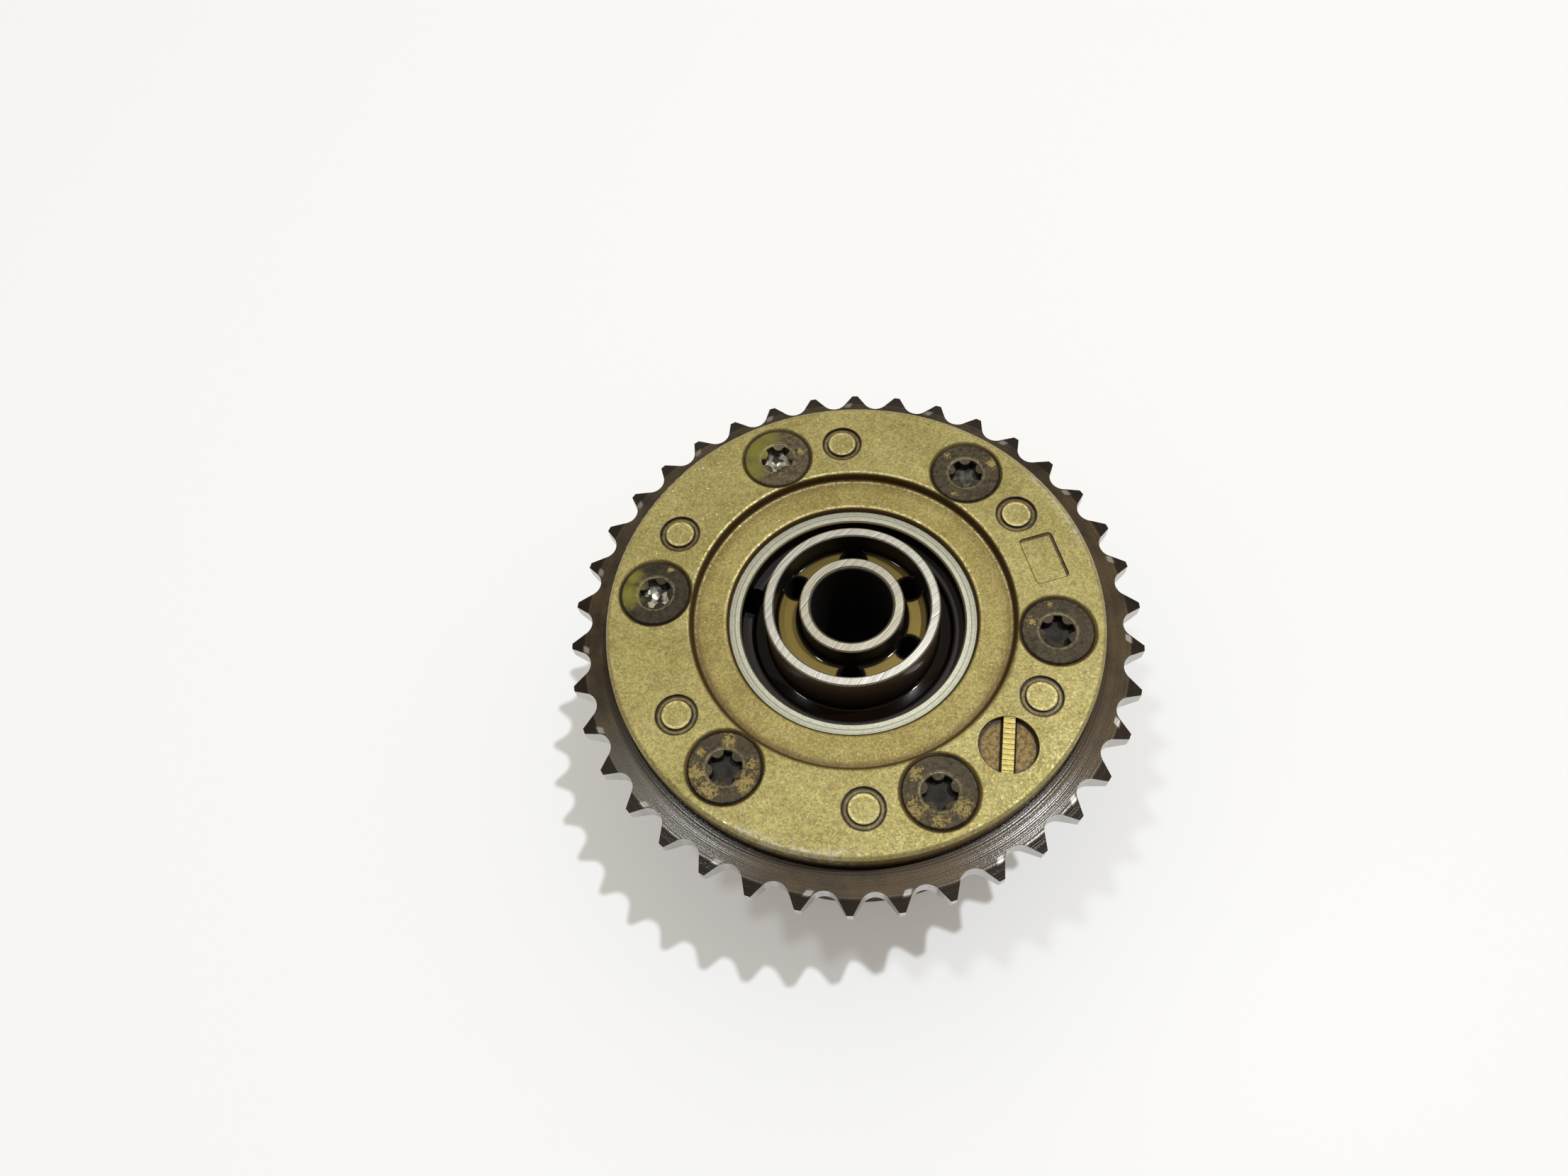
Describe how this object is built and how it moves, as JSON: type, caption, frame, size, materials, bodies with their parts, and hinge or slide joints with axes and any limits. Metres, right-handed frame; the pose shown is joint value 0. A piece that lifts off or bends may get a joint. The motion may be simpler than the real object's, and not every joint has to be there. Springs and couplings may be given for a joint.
{
  "type": "cam phaser",
  "caption": "Oil-driven vane cam phaser: toothed chain sprocket housing with a stained cast cover, flush socket screws and a ringed rotor hub that turns inside it to shift the camshaft.",
  "frame": {"origin": "on the axis, in the plane of the front cover's outer face on which it lies", "axes": "+Z along the camshaft axis towards the camshaft side, +X to the right in the picture's view"},
  "size_m": [0.1004, 0.1004, 0.0487],
  "materials": {
    "cast_aluminium_stained": "die-cast, stained olive gold by oil varnish, turned ring bare",
    "sintered_steel": "sintered steel, dark and oily, bare on the tooth flanks",
    "cast_aluminium": "die-cast, oily",
    "phosphated_steel": "dark phosphate with gold oil residue",
    "ground_steel": "ground ends, oil-stained elsewhere",
    "hardened_steel": "ground",
    "spring_steel": "oiled spring strip and wire",
    "stamped_steel": "stamped sheet, oily",
    "seal_plastic": "filled seal plastic"
  },
  "bodies": {
    "housing": {"camshaft_cover": "cast_aluminium_stained", "sprocket_housing": "sintered_steel", "front_cover": "cast_aluminium", "cover_screws": "phosphated_steel", "lock_pin_seat": "hardened_steel", "bias_spring": "spring_steel", "spring_post": "hardened_steel", "spring_cover": "stamped_steel"},
    "rotor": {"rotor": "ground_steel", "vane_seal_1": "seal_plastic", "vane_seal_2": "seal_plastic", "vane_seal_3": "seal_plastic", "vane_seal_4": "seal_plastic", "vane_seal_5": "seal_plastic", "vane_seal_6": "seal_plastic", "vane_spring_1": "spring_steel", "vane_spring_2": "spring_steel", "vane_spring_3": "spring_steel", "vane_spring_4": "spring_steel", "vane_spring_5": "spring_steel", "vane_spring_6": "spring_steel", "lock_pin_cap": "hardened_steel", "lock_pin_spring": "spring_steel"},
    "lock_pin": {"lock_pin": "hardened_steel"}
  },
  "joints": [
    {"name": "rotor_turn", "type": "hinge", "parent": "housing", "child": "rotor", "pos_m": [0, 0, 0.025], "axis": [0, 0, 1], "range_deg": [-7.2, 15.6], "deforming": ["bias_spring"]},
    {"name": "lock_pin_slide", "type": "slide", "parent": "rotor", "child": "lock_pin", "axis": [0, 0, 1], "range_m": [-0.0035, 0], "stiffness_N_per_m": 1500, "springref_m": 0.004, "deforming": ["lock_pin_spring"]}
  ]
}
